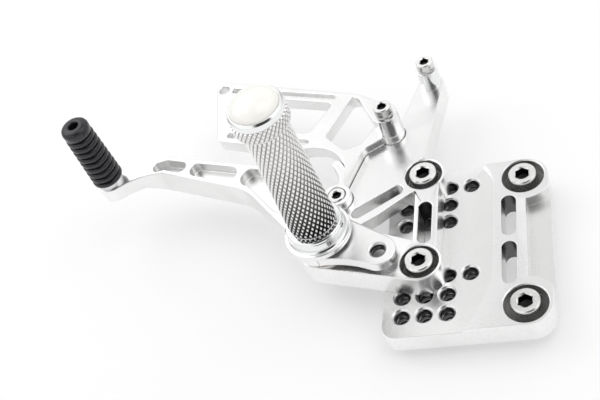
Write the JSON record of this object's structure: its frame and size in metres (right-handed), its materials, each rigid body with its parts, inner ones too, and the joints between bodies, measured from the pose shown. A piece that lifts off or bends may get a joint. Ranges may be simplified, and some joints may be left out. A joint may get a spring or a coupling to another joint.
{
  "type": "rear sets footrest",
  "caption": "Left side motorcycle rear set: drilled adapter plate, bracket with windowed support plate, turning shift lever with ribbed toe piece, and a knurled footpeg with a domed cap.",
  "frame": {"origin": "midway between the two frame bolts, in the back face of the adapter plate that bears on the motorcycle frame", "axes": "+Z outward along the footpeg, away from the motorcycle; +Y from the lower frame bolt to the upper one; +X along the plate's hole rows towards the edge with the frame bolts, away from the shift lever's toe piece"},
  "size_m": [0.2275, 0.1616, 0.1253],
  "materials": {
    "plate_aluminium": "machined, fine bead blast, edges broken",
    "bracket_aluminium": "satin, faces lapped, edges bright",
    "lever_aluminium": "satin with milled pockets",
    "knurled_aluminium": "diamond knurled grip, turned ends",
    "polished_aluminium": "turned and polished",
    "screw_steel": "zinc plated steel, knurled heads",
    "sleeve_steel": "ground steel",
    "bush_bronze": "plain bearing bronze",
    "black_rubber": "moulded, ribbed, semi matt",
    "cream_plastic": "cream, smooth and glossy"
  },
  "bodies": {
    "mount_body": {"adapter_plate": "plate_aluminium", "frame_bolts": "screw_steel", "main_bracket": "bracket_aluminium", "bracket_bolts": "screw_steel", "support_plate": "bracket_aluminium", "support_plate_screw": "screw_steel", "lower_guard_spacer": "polished_aluminium", "lower_guard_screw": "screw_steel", "upper_guard_spacer": "polished_aluminium", "upper_guard_screw": "screw_steel", "pivot_bolt": "screw_steel", "pivot_bolt_washer": "screw_steel", "pivot_sleeve": "sleeve_steel", "peg_collar": "polished_aluminium", "footpeg_barrel": "knurled_aluminium", "footpeg_cap": "cream_plastic"},
    "lever_body": {"shift_lever": "lever_aluminium", "inner_bush": "bush_bronze", "outer_bush": "bush_bronze", "toe_pin": "sleeve_steel", "toe_pin_screw": "screw_steel", "toe_rubber": "black_rubber"}
  },
  "joints": [
    {"name": "lever_pivot", "type": "hinge", "parent": "mount_body", "child": "lever_body", "pos_m": [-0.0885, 0, 0.025], "axis": [0, 0, 1], "range_deg": [-10, 10]}
  ]
}
